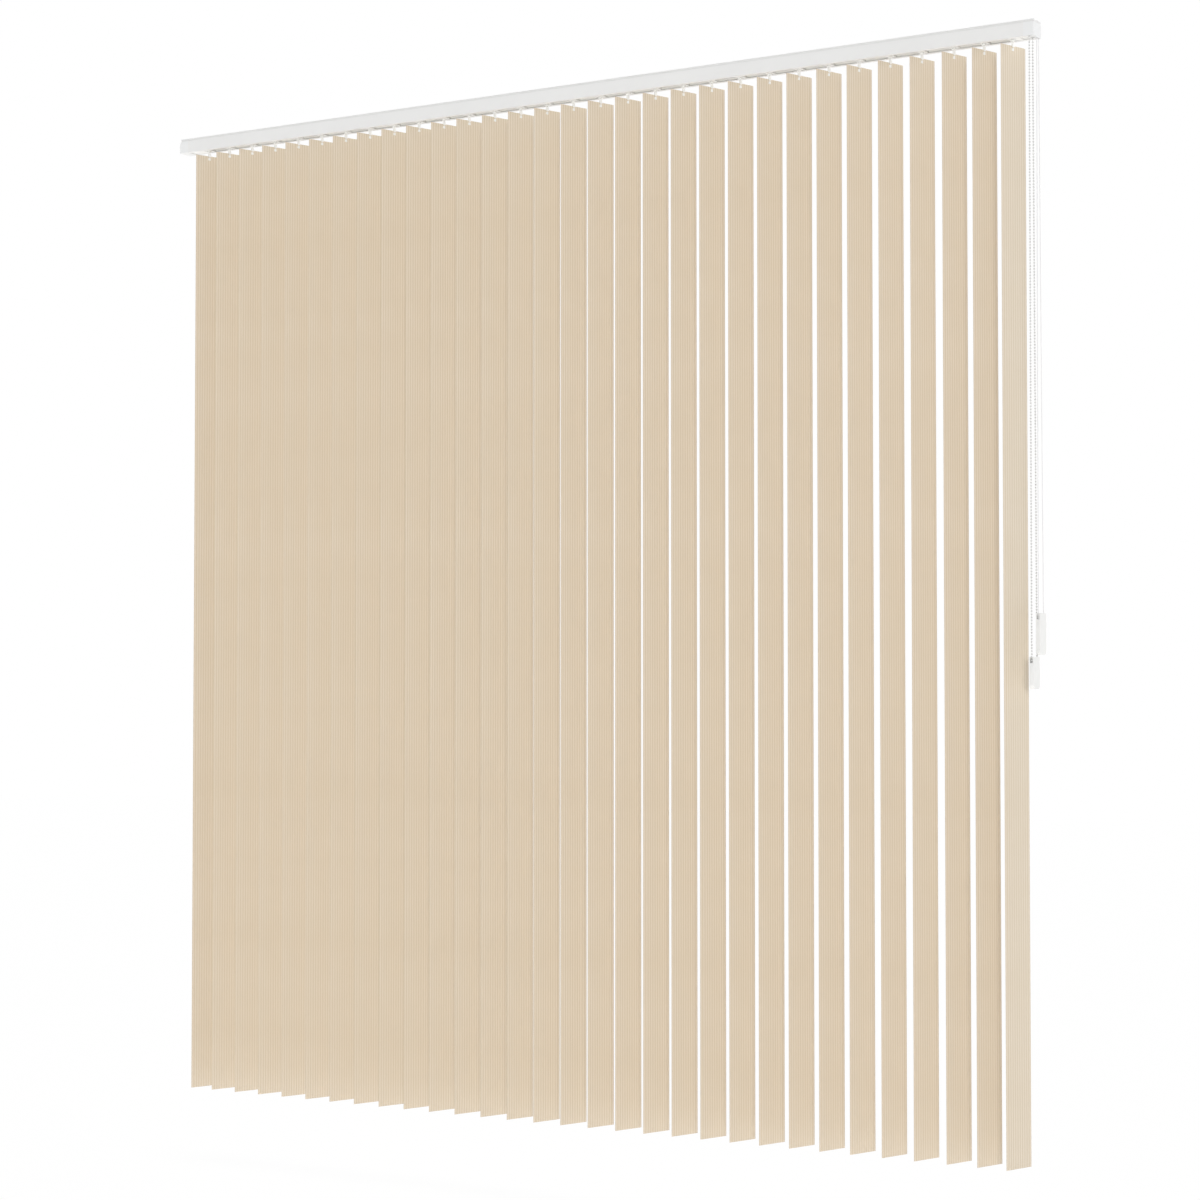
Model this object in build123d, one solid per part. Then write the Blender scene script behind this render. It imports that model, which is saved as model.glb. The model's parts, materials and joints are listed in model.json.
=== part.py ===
from build123d import *
import math
import os

os.makedirs("parts", exist_ok=True)

# All lengths are in millimetres and all angles in degrees.
# X runs along the rail with the controls at its far end, Y runs towards the window, Z is up.
# The origin is the centre of the rail's top face.

# Slats
slat_count = 31
slat_width = 89.0
slat_length = 2688.0
slat_thick = 0.8
slat_open_angle = 71.8
slat_closed_angle = 10.0
lead_gap = 75.6
late_gap = 85.8
late_gap_count = 3
second_last_gap = 79.5
last_gap = 74.7
first_slat_inset = 91.7
slat_weight_gap = 0.8
hole_width = 8.0
hole_height = 7.0
hole_drop = 5.0
slat_drop = 17.5

# Head rail, an extrusion
rail_length = 2663.5
rail_depth = 48.0
rail_height = 40.0
rail_wall = 1.6
rail_lip = 10.0
groove_drop = 1.8
groove_height = 5.0
groove_depth = 2.5

# Tilt drive
rod_offset = 8.5
rod_drop = 22.0
rod_radius = 2.6
rod_sides = 6
worm_radius = 3.9
worm_sides = 12
wheel_teeth = 12
drive_gap = 0.3
running_fit = 0.05
sliding_fit = 0.2
journal_radius = 4.0

# Carriers
carrier_length = 20.0
carrier_wall = 2.0
carrier_base = 3.4
carrier_roof = 2.6
carrier_front_wall = 1.6
carrier_rear_wall = 1.6
wing_reach = 21.0
neck_radius = 6.5
neck_sides = 8
neck_drop = 3.5

# Hooks
wheel_height = 8.0
stem_radius = 2.0
hook_width = 7.0
jaw_thick = 1.4
jaw_gap = 0.15
hook_block_height = 6.4
hook_top_gap = 0.6
front_jaw_reach = 3.0
nose_width = 5.0
nose_height = 6.0
nose_reach = 1.6

# Spacer links
link_width = 14.0
link_thick = 0.4
link_overlap = 5.0
link_side_gap = 1.0
link_rib_gap = 0.6
link_rib_drop = 2.8
link_end_gap = 1.0

# Tilt chain
bead_radius = 2.25
bead_pitch = 7.3
sprocket_beads = 9
chain_gap = 0.35
sprocket_flange = 1.4
sprocket_rim_gap = 0.2
rim_notch = 2.0

# Traverse cord
cord_radius = 0.9
cord_drop = 11.0
cord_pulley_radius = 5.5
cord_lead = 3.0
pulley_flange = 0.8
pulley_rim = 1.1
pin_radius = 1.5
pin_seat = 1.2
web_chain_gap = 0.1
pulley_wall_gap = 0.6
grip_length = 12.0
grip_wall = 1.6

# Hanging weights
weight_thick = 10.6
weight_width = 39.0
weight_corner = 11.0
weight_wall = 1.9
weight_wheel_radius = 16.0
weight_wheel_drop = 36.0
weight_pin_radius = 2.0
weight_slot_margin = 1.0
notch_height = 15.0
chain_weight_height = 76.3
chain_weight_drop = 1528.7
cord_weight_height = 100.0
cord_weight_drop = 1423.9

# End caps
control_plate = 2.2
control_length = 26.0
control_plug = 12.0
control_inner_wall = 2.5
control_wall = 2.4
chain_inset = 12.6
cord_inset = 4.5
exit_margin = 0.9
idler_length = 30.0
idler_plug = 10.0
idler_step_height = 12.0
idler_step_depth = 4.0
idler_end_wall = 2.5
bush_length = 16.0
bearing_depth = 18.0
end_play = 0.5

# Extra reach of a cutting solid past the faces that it cuts
overrun = 1.0

# Places along the rail: its length less the end margins and end gaps sets the slats' even pitch
last_slat_inset = (
    chain_inset
    + weight_thick / 2
    + slat_weight_gap
    + slat_width / 2 * math.cos(math.radians(slat_closed_angle))
)
end_gaps = [late_gap] * late_gap_count + [second_last_gap, last_gap]
even_gaps = slat_count - 2 - len(end_gaps)
even_run = rail_length - first_slat_inset - lead_gap - sum(end_gaps) - last_slat_inset
slat_pitch = even_run / even_gaps
slat_gaps = [lead_gap] + [slat_pitch] * even_gaps + end_gaps
left_end = -rail_length / 2
right_end = rail_length / 2
slat_places = [left_end + first_slat_inset + sum(slat_gaps[:i]) for i in range(slat_count)]

# Heights
rail_bottom = -rail_height
lip_top = rail_bottom + rail_wall
groove_top = -groove_drop
groove_bottom = groove_top - groove_height
cavity_top = groove_bottom - rail_wall
rod_level = -rod_drop
slat_top = rail_bottom - slat_drop
slat_bottom = slat_top - slat_length
hole_top = slat_top - hole_drop
neck_bottom = rail_bottom - neck_drop
cord_level = -cord_drop

# Widths
half_depth = rail_depth / 2
cavity_half = half_depth - rail_wall
slot_half = half_depth - rail_lip
groove_half = half_depth - groove_depth

# Drive geometry
wheel_radius = rod_offset - worm_radius - drive_gap
sprocket_radius = sprocket_beads * bead_pitch / (2 * math.pi)
wheel_top = rod_level + wheel_height / 2
wheel_bottom = rod_level - wheel_height / 2
chain_place = right_end - chain_inset
cord_place = right_end - cord_inset
cord_pulley_place = cord_place - cord_pulley_radius

# The cord's two runs, between the chain and the control cap's rear wall
pulley_half = cord_radius + drive_gap + pulley_flange
chain_rear = sprocket_radius + bead_radius - rod_offset
front_run = chain_rear + web_chain_gap + pin_seat + drive_gap + pulley_half
rear_run = half_depth - control_wall - pulley_wall_gap - pulley_half
cord_offset = (front_run + rear_run) / 2
cord_half_spread = (rear_run - front_run) / 2

print("slat pitch", round(slat_pitch, 2), "chain turn radius", round(sprocket_radius, 2))


def box_between(x_from, x_to, y_from, y_to, z_from, z_to):
    """A block given by its two limits on each axis."""
    centre = Pos((x_from + x_to) / 2, (y_from + y_to) / 2, (z_from + z_to) / 2)
    return centre * Box(x_to - x_from, y_to - y_from, z_to - z_from)


def round_x(radius, x_from, x_to, y, z):
    """A cylinder along X."""
    return Pos((x_from + x_to) / 2, y, z) * Rot(0, 90, 0) * Cylinder(radius, x_to - x_from)


def round_y(radius, y_from, y_to, x, z):
    """A cylinder along Y."""
    return Pos(x, (y_from + y_to) / 2, z) * Rot(90, 0, 0) * Cylinder(radius, y_to - y_from)


def round_z(radius, z_from, z_to, x, y):
    """A cylinder along Z."""
    return Pos(x, y, (z_from + z_to) / 2) * Cylinder(radius, z_to - z_from)


def prism_x(points, x_from, x_to):
    """A closed outline of (y, z) points drawn out along X."""
    outline = make_face(Polyline(*points, close=True))
    return extrude(Plane.YZ.offset(x_from) * outline, amount=x_to - x_from)


def mirrored(points):
    """An outline's points on the +Y side, followed by their mirror images."""
    return points + [(-y, z) for y, z in reversed(points)]


def bar_x(radius, sides, x_from, x_to):
    """A bar of regular section on the tilt rod's axis."""
    section = Pos(-rod_offset, rod_level) * RegularPolygon(radius, sides)
    return extrude(Plane.YZ.offset(x_from) * section, amount=x_to - x_from)


def bar_z(radius, sides, z_from, z_to):
    """An upright bar of regular section on the Z axis."""
    return extrude(Pos(0, 0, z_from) * RegularPolygon(radius, sides), amount=z_to - z_from)


def write(name, solids):
    """Write one node: a single solid or a group of separate ones."""
    group = solids if isinstance(solids, list) else [solids]
    pieces = [piece for solid in group for piece in solid.solids()]
    export_step(Compound(pieces) if len(pieces) > 1 else pieces[0], f"parts/{name}.step")


# Head rail and end caps
rail_outline = mirrored([
    (half_depth, 0),
    (half_depth, groove_top),
    (groove_half, groove_top),
    (groove_half, groove_bottom),
    (half_depth, groove_bottom),
    (half_depth, rail_bottom),
])
rail_cavity = mirrored([
    (groove_half - rail_wall, groove_top),
    (groove_half - rail_wall, cavity_top),
    (cavity_half, cavity_top),
    (cavity_half, lip_top),
    (slot_half, lip_top),
    (slot_half, rail_bottom - overrun),
])


def make_rail():
    """The extruded rail between the two end caps."""
    x_from = left_end + idler_length
    x_to = right_end - control_length
    rail = prism_x(rail_outline, x_from, x_to)
    return rail - prism_x(rail_cavity, x_from - overrun, x_to + overrun)


def make_plug(x_from, x_to):
    """The part of an end cap that fills the rail's cavity."""
    half = cavity_half - sliding_fit
    return box_between(x_from, x_to, -half, half, lip_top + sliding_fit, cavity_top - sliding_fit)


def make_control_cap():
    """The right end cap, hollow for the sprocket and the cord pulleys."""
    cap = prism_x(rail_outline, right_end - control_length, right_end)
    cap += make_plug(right_end - control_length - control_plug, right_end - control_length)
    room_half = half_depth - control_wall
    room_from = right_end - control_length + control_inner_wall
    room_to = right_end - control_plate
    floor = rail_bottom + control_wall
    cap -= box_between(room_from, room_to, -room_half, room_half, floor, cavity_top)
    bearing_from = right_end - control_length - control_plug - overrun
    cap -= round_x(journal_radius + running_fit, bearing_from, room_from, -rod_offset, rod_level)
    run_y = cord_radius + exit_margin
    hole = bead_radius + exit_margin
    for side in (-1, 1):
        cord_y = cord_offset + side * cord_half_spread
        cap -= box_between(
            right_end - control_length - control_plug - overrun, room_from,
            cord_y - run_y, cord_y + run_y, cord_level - run_y, cord_level + run_y,
        )
        cap -= box_between(
            cord_place - run_y, cord_place + run_y, cord_y - run_y, cord_y + run_y,
            rail_bottom - overrun, floor,
        )
        chain_y = side * sprocket_radius - rod_offset
        cap -= box_between(
            chain_place - hole, chain_place + hole, chain_y - hole, chain_y + hole,
            rail_bottom - overrun, floor,
        )
    pin_z = cord_level - cord_pulley_radius
    pin_from, pin_to = control_pin_limits()
    cap += make_pin_bosses(pin_z, pin_from, pin_to)
    return cap - round_y(pin_radius, pin_from, pin_to, cord_pulley_place, pin_z)


def control_pin_limits():
    """The two ends of the pin that carries both cord pulleys."""
    pin_to = half_depth - control_wall + pin_seat
    return front_run - pulley_half - drive_gap - pin_seat, pin_to


def make_pin_bosses(pin_z, pin_from, pin_to):
    """A web from the room's inner wall that holds the inner end of the pulley pin."""
    web_from = right_end - control_length + control_inner_wall
    web_half = pin_radius + pin_seat
    return box_between(
        web_from, cord_pulley_place + web_half, pin_from, pin_from + pin_seat,
        pin_z - web_half, pin_z + web_half,
    )


def make_idler_cap():
    """The left end cap, with the cord's idler pulley and the rod's far bearing."""
    cap = prism_x(rail_outline, left_end, left_end + idler_length)
    plug_end = left_end + idler_length + idler_plug
    cap += make_plug(left_end + idler_length, plug_end)
    cap -= box_between(
        left_end - overrun, left_end + idler_step_depth, -rail_depth, rail_depth,
        -idler_step_height, overrun,
    )
    room_from = left_end + idler_step_depth + idler_end_wall
    reach = idler_rim() + sliding_fit * 2
    floor = cord_level - pulley_half - drive_gap
    cap -= box_between(
        room_from, plug_end + overrun, cord_offset - reach, cord_offset + reach, floor, cavity_top,
    )
    place = idler_place()
    cap -= round_z(pin_radius, floor - pin_seat, cavity_top + pin_seat, place, cord_offset)
    return cap - round_x(
        journal_radius + running_fit, plug_end - bearing_depth, plug_end + overrun,
        -rod_offset, rod_level,
    )


def idler_rim():
    """Radius of the idler pulley over its rims."""
    return cord_half_spread + pulley_rim


def idler_place():
    """Where the idler pulley's pin stands along the rail."""
    return left_end + idler_step_depth + idler_end_wall + idler_rim() + sliding_fit * 2


# Tilt drive
def make_rod():
    """The six-sided tilt rod from the idler bush to the sprocket's socket."""
    x_from = left_end + idler_length + idler_plug - bearing_depth + end_play
    x_to = right_end - control_length + control_inner_wall
    return bar_x(rod_radius, rod_sides, x_from, x_to)


def make_bush():
    """The round bush that carries the rod in the idler cap."""
    x_to = left_end + idler_length + idler_plug - end_play
    bush = round_x(journal_radius, x_to - bush_length, x_to, -rod_offset, rod_level)
    return bush - bar_x(rod_radius, rod_sides, x_to - bush_length - overrun, x_to + overrun)


def make_sprocket():
    """The chain wheel with its journal, turned about the rod's axis."""
    root = sprocket_radius - bead_radius - chain_gap
    rim = sprocket_radius - sprocket_rim_gap
    gap = bead_radius + chain_gap
    side = gap + sprocket_flange
    journal_from = right_end - control_length - control_plug - chain_place
    profile = [
        (journal_from, 0),
        (journal_from, journal_radius),
        (-side, journal_radius),
        (-side, rim),
        (-gap, rim),
        (-gap, root),
        (gap, root),
        (gap, rim),
        (side, rim),
        (side, 0),
    ]
    outline = Plane.XZ * make_face(Polyline(*profile, close=True))
    wheel = Pos(chain_place, -rod_offset, rod_level) * revolve(outline, Axis.X)
    notch = Pos(0, rim, 0) * Rot(45, 0, 0) * Box(2 * (side + overrun), rim_notch, rim_notch)
    for step in range(sprocket_beads):
        turn = Rot(360 * step / sprocket_beads, 0, 0)
        wheel -= Pos(chain_place, -rod_offset, rod_level) * turn * notch
    socket_from = right_end - control_length - control_plug - overrun
    socket_to = right_end - control_length + control_inner_wall
    return wheel - bar_x(rod_radius, rod_sides, socket_from, socket_to)


def make_worm():
    """One worm sleeve, at the rail's middle."""
    half = carrier_length / 2 - carrier_wall - sliding_fit
    sleeve = bar_x(worm_radius, worm_sides, -half, half)
    return sleeve - bar_x(rod_radius + running_fit, rod_sides, -half - overrun, half + overrun)


# Carriers, hooks and slats
def make_carrier():
    """One carrier, at the rail's middle: a gear box on a wide base with a neck below."""
    half = carrier_length / 2
    base_top = lip_top + carrier_base
    room_front = -rod_offset - worm_radius - drive_gap
    room_rear = wheel_radius + drive_gap
    room_floor = wheel_bottom - drive_gap
    room_roof = wheel_top + drive_gap
    carrier = box_between(-half, half, -wing_reach, wing_reach, lip_top, base_top)
    carrier += box_between(
        -half, half, room_front - carrier_front_wall, room_rear + carrier_rear_wall,
        base_top, room_roof + carrier_roof,
    )
    carrier += bar_z(neck_radius, neck_sides, neck_bottom, lip_top)
    carrier -= box_between(
        -half + carrier_wall, half - carrier_wall, room_front, room_rear, room_floor, room_roof,
    )
    slot = rod_radius + drive_gap
    carrier -= box_between(
        -half - overrun, half + overrun, room_front - carrier_front_wall - overrun,
        slot - rod_offset, rod_level - slot, rod_level + slot,
    )
    bore = stem_radius + running_fit
    return carrier - box_between(-bore, bore, -bore, bore, neck_bottom - overrun, room_floor)


def make_hook():
    """One hook across X: worm wheel, stem and the clip that holds the slat."""
    block_bottom = slat_top + hook_top_gap
    block_top = block_bottom + hook_block_height
    jaw_in = slat_thick / 2 + jaw_gap
    jaw_out = jaw_in + jaw_thick
    side = hook_width / 2
    hook = bar_z(wheel_radius, wheel_teeth, wheel_bottom, wheel_top)
    hook += round_z(stem_radius, block_top, wheel_bottom, 0, 0)
    hook += box_between(-side, side, -jaw_out, jaw_out, block_bottom, block_top)
    hook += box_between(-side, side, -jaw_out, -jaw_in, slat_top - front_jaw_reach, block_bottom)
    hook += box_between(-side, side, jaw_in, jaw_out, hole_top - hole_height, block_bottom)
    nose = [(jaw_in, hole_top), (jaw_in, hole_top - nose_height), (-jaw_in - nose_reach, hole_top)]
    return hook + prism_x(nose, -nose_width / 2, nose_width / 2)


def make_slat():
    """One flat slat across X with its punched hole."""
    side = slat_width / 2
    face = slat_thick / 2
    slat = box_between(-side, side, -face, face, slat_bottom, slat_top)
    hole = hole_width / 2
    return slat - box_between(
        -hole, hole, -face - overrun, face + overrun, hole_top - hole_height, hole_top,
    )


def make_links():
    """The spacer strips that lie on the carriers' rear wings, every other one on its neighbours' ends.

    Each has a stiffening rib that stands just above the rail's rear lip, between the carriers.
    """
    base_top = lip_top + carrier_base
    side = wheel_radius + drive_gap + carrier_rear_wall + link_side_gap
    rib = slot_half + link_rib_gap
    clear = carrier_length / 2 + link_end_gap
    links = []
    for number, (start, stop) in enumerate(zip(slat_places, slat_places[1:])):
        level = base_top + link_thick if number % 2 else base_top
        top = level + link_thick
        strip = box_between(start - link_overlap, stop + link_overlap, side, side + link_width, level, top)
        links.append(strip + box_between(
            start + clear, stop - clear, rib, rib + link_thick, base_top - link_rib_drop, top,
        ))
    return links


# Pulleys, cords and weights
def make_pulley(line_radius, thread_radius, rim_reach, half_width, bore_radius):
    """A grooved pulley about Z: the line of the thread runs at the given radius."""
    root = line_radius - thread_radius - drive_gap
    rim = line_radius + rim_reach
    profile = [
        (bore_radius, -half_width),
        (rim, -half_width),
        (root, -thread_radius),
        (root, thread_radius),
        (rim, half_width),
        (bore_radius, half_width),
    ]
    return revolve(Plane.XZ * make_face(Polyline(*profile, close=True)), Axis.Z)


def tube(path, radius):
    """A round tube along a path."""
    return sweep(Plane(origin=path @ 0, z_dir=path % 0) * Circle(radius), path=path)


def on_circle(place, middle, level, radius, side, turn):
    """A point on a circle across X: turn 0 is its side, a quarter turn down its lowest point."""
    return (place, middle + side * radius * math.cos(turn), level + radius * math.sin(turn))


def quarter(place, middle, level, radius, side, turn_from, turn_to):
    """The arc of such a circle between two turns."""
    turns = (turn_from, (turn_from + turn_to) / 2, turn_to)
    return ThreePointArc(*[on_circle(place, middle, level, radius, side, turn) for turn in turns])


def make_chain():
    """The endless tilt chain: over the sprocket, down, and round the weight's wheel."""
    wheel_z = -chain_weight_drop - weight_wheel_drop
    lean = math.asin((weight_wheel_radius - sprocket_radius) / (rod_level - wheel_z))
    halves = []
    for side in (-1, 1):
        over = quarter(
            chain_place, -rod_offset, rod_level, sprocket_radius, side, math.pi / 2, lean,
        )
        under = quarter(
            chain_place, -rod_offset, wheel_z, weight_wheel_radius, side, lean, -math.pi / 2,
        )
        path = Wire([over.edge(), Line(over @ 1, under @ 0).edge(), under.edge()])
        halves.append(tube(path, bead_radius))
        print("chain half", round(path.length, 1))
    print("chain radii", round(sprocket_radius, 2), weight_wheel_radius)
    return halves[0] + halves[1]


def make_hanging_cord():
    """The traverse cord below the rail, from one control pulley to the other."""
    wheel_z = -cord_weight_drop - weight_wheel_drop
    fall = cord_level - wheel_z
    reach = math.hypot(cord_half_spread, fall)
    lean = math.asin(weight_wheel_radius / reach) - math.atan2(cord_half_spread, fall)
    halves = []
    for side in (-1, 1):
        strand_y = cord_offset + side * cord_half_spread
        under = quarter(
            cord_place, cord_offset, wheel_z, weight_wheel_radius, side, lean, -math.pi / 2,
        )
        strand = FilletPolyline(
            (cord_pulley_place - cord_lead, strand_y, cord_level),
            (cord_place, strand_y, cord_level),
            under @ 0,
            radius=cord_pulley_radius,
        )
        path = Wire([*strand.edges(), under.edge()])
        halves.append(tube(path, cord_radius))
        print("hanging cord half", round(path.length, 1))
    print("hanging cord radii", cord_pulley_radius, weight_wheel_radius)
    return halves[0] + halves[1]


def make_cord_runs():
    """The traverse cord inside the rail, round the idler pulley."""
    lead = cord_pulley_place - cord_lead
    turn = idler_place()
    halves = []
    for side in (-1, 1):
        strand_y = cord_offset + side * cord_half_spread
        run = Line((lead, strand_y, cord_level), (turn, strand_y, cord_level))
        slant = cord_half_spread * math.sqrt(1 / 2)
        bend = ThreePointArc(
            run @ 1,
            (turn - slant, cord_offset + side * slant, cord_level),
            (turn - cord_half_spread, cord_offset, cord_level),
        )
        path = Wire([run.edge(), bend.edge()])
        halves.append(tube(path, cord_radius))
        print("cord run in the rail", round(path.length, 1), "radius", round(cord_half_spread, 2))
    return halves[0] + halves[1]


def make_grip():
    """The block that clamps the front run of the cord to the lead carrier."""
    carrier_top = wheel_top + drive_gap + carrier_roof
    cord_y = front_run
    place = slat_places[0]
    half = grip_length / 2
    front = wheel_radius + drive_gap + carrier_rear_wall - grip_wall
    grip = box_between(
        place - half, place + half, front, cord_y + cord_radius + grip_wall,
        carrier_top, cord_level + cord_radius + grip_wall,
    )
    return grip - round_x(cord_radius, place - half - overrun, place + half + overrun, cord_y, cord_level)


def weight_outline(width, height, corner):
    """A weight's outline in (y, z), its top edge on zero and its lower corners round."""
    half = width / 2
    arc_rise = corner * (1 - math.sqrt(1 / 2))
    edges = Curve() + [
        Line((-half, 0), (half, 0)),
        Line((half, 0), (half, corner - height)),
        ThreePointArc(
            (half, corner - height),
            (half - arc_rise, arc_rise - height),
            (half - corner, -height),
        ),
        Line((half - corner, -height), (corner - half, -height)),
        ThreePointArc(
            (corner - half, -height),
            (arc_rise - half, arc_rise - height),
            (-half, corner - height),
        ),
        Line((-half, corner - height), (-half, 0)),
    ]
    return make_face(edges)


def make_weight(place, middle, top, height, line_radius):
    """The two half shells, the wheel and the pin of a weight that hangs in a loop."""
    half_thick = weight_thick / 2
    wheel_z = top - weight_wheel_drop
    slot_half_thick = half_thick - weight_wall
    outline = Plane.YZ.offset(place - half_thick) * Pos(middle, top) * weight_outline(
        weight_width, height, weight_corner
    )
    body = extrude(outline, amount=weight_thick)
    room_reach = weight_wheel_radius + line_radius + weight_slot_margin
    room = round_x(room_reach, place - slot_half_thick, place + slot_half_thick, middle, wheel_z)
    room += box_between(
        place - slot_half_thick, place + slot_half_thick, middle - room_reach, middle + room_reach,
        wheel_z, top + overrun,
    )
    body -= room
    strand_in = weight_wheel_radius - line_radius - weight_slot_margin
    for side in (-1, 1):
        near = middle + side * strand_in
        far = middle + side * weight_width
        body -= box_between(
            place - slot_half_thick, place + slot_half_thick, min(near, far), max(near, far),
            top - notch_height, top + overrun,
        )
    pin_half = half_thick - weight_wall / 2
    pin = round_x(weight_pin_radius, place - pin_half, place + pin_half, middle, wheel_z)
    body -= pin
    left = body & box_between(
        place - weight_thick, place, middle - weight_width, middle + weight_width,
        top - height - overrun, top + overrun,
    )
    right = body - left
    wheel_half = slot_half_thick - drive_gap
    wheel = make_pulley(
        weight_wheel_radius, line_radius, 0, wheel_half, weight_pin_radius + running_fit,
    )
    return left, right, Pos(place, middle, wheel_z) * Rot(0, 90, 0) * wheel, pin


def build():
    """Make every piece and write its node."""
    write("head_rail", make_rail())
    write("control_end_cap", make_control_cap())
    write("idler_end_cap", make_idler_cap())
    write("tilt_rod", make_rod())
    write("rod_bush", make_bush())
    write("chain_sprocket", make_sprocket())
    worm = make_worm()
    write("worm_sleeves", [Pos(place, 0, 0) * worm for place in slat_places])
    carrier = make_carrier()
    write("carriers", [Pos(place, 0, 0) * carrier for place in slat_places])
    write("spacer_links", make_links())
    slat = make_slat()
    hook = make_hook()
    for number, place in enumerate(slat_places, start=1):
        stand = Pos(place, 0, 0) * Rot(0, 0, slat_open_angle)
        write(f"slat_{number:02d}", [stand * slat, stand * hook])
    pulley = make_pulley(
        cord_pulley_radius, cord_radius, pulley_rim, pulley_half, pin_radius + running_fit,
    )
    pin_z = cord_level - cord_pulley_radius
    for name, side in (("cord_pulley_front", -1), ("cord_pulley_rear", 1)):
        stand = Pos(cord_pulley_place, cord_offset + side * cord_half_spread, pin_z)
        write(name, stand * Rot(90, 0, 0) * pulley)
    pin_from, pin_to = control_pin_limits()
    write("cord_pulley_pin", round_y(pin_radius, pin_from, pin_to, cord_pulley_place, pin_z))
    idler = make_pulley(
        cord_half_spread, cord_radius, pulley_rim, pulley_half, pin_radius + running_fit,
    )
    write("idler_pulley", Pos(idler_place(), cord_offset, cord_level) * idler)
    floor = cord_level - pulley_half - drive_gap
    write("idler_pin", round_z(
        pin_radius, floor - pin_seat, cavity_top + pin_seat, idler_place(), cord_offset,
    ))
    write("tilt_chain", make_chain())
    write("traverse_cord", make_hanging_cord())
    write("cord_runs", make_cord_runs())
    write("cord_grip", make_grip())
    weights = (
        ("chain_weight", chain_place, -rod_offset, chain_weight_drop, chain_weight_height, bead_radius),
        ("cord_weight", cord_place, cord_offset, cord_weight_drop, cord_weight_height, cord_radius),
    )
    for name, place, middle, drop, height, line_radius in weights:
        left, right, wheel, pin = make_weight(place, middle, -drop, height, line_radius)
        write(f"{name}_left_shell", left)
        write(f"{name}_right_shell", right)
        write(f"{name}_wheel", wheel)
        write(f"{name}_pin", pin)


if __name__ == "__main__":
    build()
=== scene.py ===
import json
import logging
import math
from dataclasses import dataclass, field
from enum import Enum
from typing import Any, Optional, Sequence

import bmesh
import bpy
from mathutils import Matrix, Vector


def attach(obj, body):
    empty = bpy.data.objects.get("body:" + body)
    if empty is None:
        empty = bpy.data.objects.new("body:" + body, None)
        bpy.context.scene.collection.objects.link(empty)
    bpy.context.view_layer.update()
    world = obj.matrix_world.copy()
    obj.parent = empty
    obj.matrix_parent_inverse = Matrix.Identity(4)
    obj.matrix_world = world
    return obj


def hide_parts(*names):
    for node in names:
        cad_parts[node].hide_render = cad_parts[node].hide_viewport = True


log = logging.getLogger("vertical_blind")
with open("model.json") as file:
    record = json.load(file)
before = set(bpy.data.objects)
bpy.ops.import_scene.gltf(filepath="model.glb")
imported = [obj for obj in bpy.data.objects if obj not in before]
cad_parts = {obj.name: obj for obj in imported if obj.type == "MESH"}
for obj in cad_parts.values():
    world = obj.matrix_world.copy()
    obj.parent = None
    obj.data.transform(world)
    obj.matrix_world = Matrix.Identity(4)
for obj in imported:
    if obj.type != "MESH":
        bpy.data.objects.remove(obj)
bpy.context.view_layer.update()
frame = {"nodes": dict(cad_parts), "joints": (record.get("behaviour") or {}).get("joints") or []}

# The pieces' sizes are in millimetres and the studio's are in metres. Angles are in degrees.
MM = 0.001
WHITE = (1.0, 1.0, 1.0, 1.0)
RAIL_BODY = "rail_assembly"
SLAT_WIDTH_MM = 89.0
SLAT_RIBS = 11
# A cord's spline: its order, and the steps that it is drawn in between two control points.
CORD_ORDER = 3
CORD_STEPS = 16
# An eased edge: how close corners are joined first, its steps, and the turn above which it is eased.
JOIN_MM = 0.002
EASE_SEGMENTS = 2
EASE_OVER = 40.0
Point = tuple[float, float, float]
Outline = list[tuple[float, float]]


class Slot(Enum):
    """The record's material slots of the pieces that are made here."""

    SLAT = "slat_pvc"
    ACETAL = "acetal"
    CHAIN = "chain_plastic"
    CORD = "cord_braid"


class Grain(Enum):
    """The way that a finish's grain runs: drawn out along the rail, or even all round."""

    ALONG_RAIL = (0.02, 1.0, 1.0)
    EVEN = (1.0, 1.0, 1.0)


def linear(hex_colour: str) -> tuple[float, float, float, float]:
    """Turn an sRGB hex colour into Blender's linear colour.

    Args:
        hex_colour: Six hex digits, with or without a leading hash sign.

    Returns:
        Red, green, blue and an alpha of one.
    """
    digits = hex_colour.lstrip("#")
    channels = [int(digits[i:i + 2], 16) / 255 for i in (0, 2, 4)]
    # These numbers are the sRGB standard's own curve.
    red, green, blue = [
        c / 12.92 if c <= 0.04045 else ((c + 0.055) / 1.055) ** 2.4 for c in channels
    ]
    return red, green, blue, 1.0


def per_metre(size_mm: float) -> float:
    """The texture scale at which one feature is that many millimetres wide."""
    return 1 / (size_mm * MM)


def wave_scale(period_mm: float) -> float:
    """The wave texture's scale at which its bands repeat every so many millimetres.

    Args:
        period_mm: The distance from band to band.

    Returns:
        The scale. Blender's wave runs through 20 radians to each unit of it.
    """
    return per_metre(period_mm) * math.pi / 10


def add_node(
    tree: bpy.types.NodeTree,
    kind: str,
    settings: Optional[dict[Any, Any]] = None,
    links: Optional[dict[Any, bpy.types.NodeSocket]] = None,
    **properties: Any,
) -> bpy.types.Node:
    """Add one node with its settings and links.

    Args:
        tree: The node tree that takes the node.
        kind: Blender's name for the node type.
        settings: Input names or numbers, with the values they are set to.
        links: Input names or numbers, with the output sockets that feed them.
        properties: Properties of the node itself.

    Returns:
        The new node.
    """
    node = tree.nodes.new(kind)
    for name, value in properties.items():
        setattr(node, name, value)
    for name, value in (settings or {}).items():
        node.inputs[name].default_value = value
    for name, socket in (links or {}).items():
        tree.links.new(socket, node.inputs[name])
    return node


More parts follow.
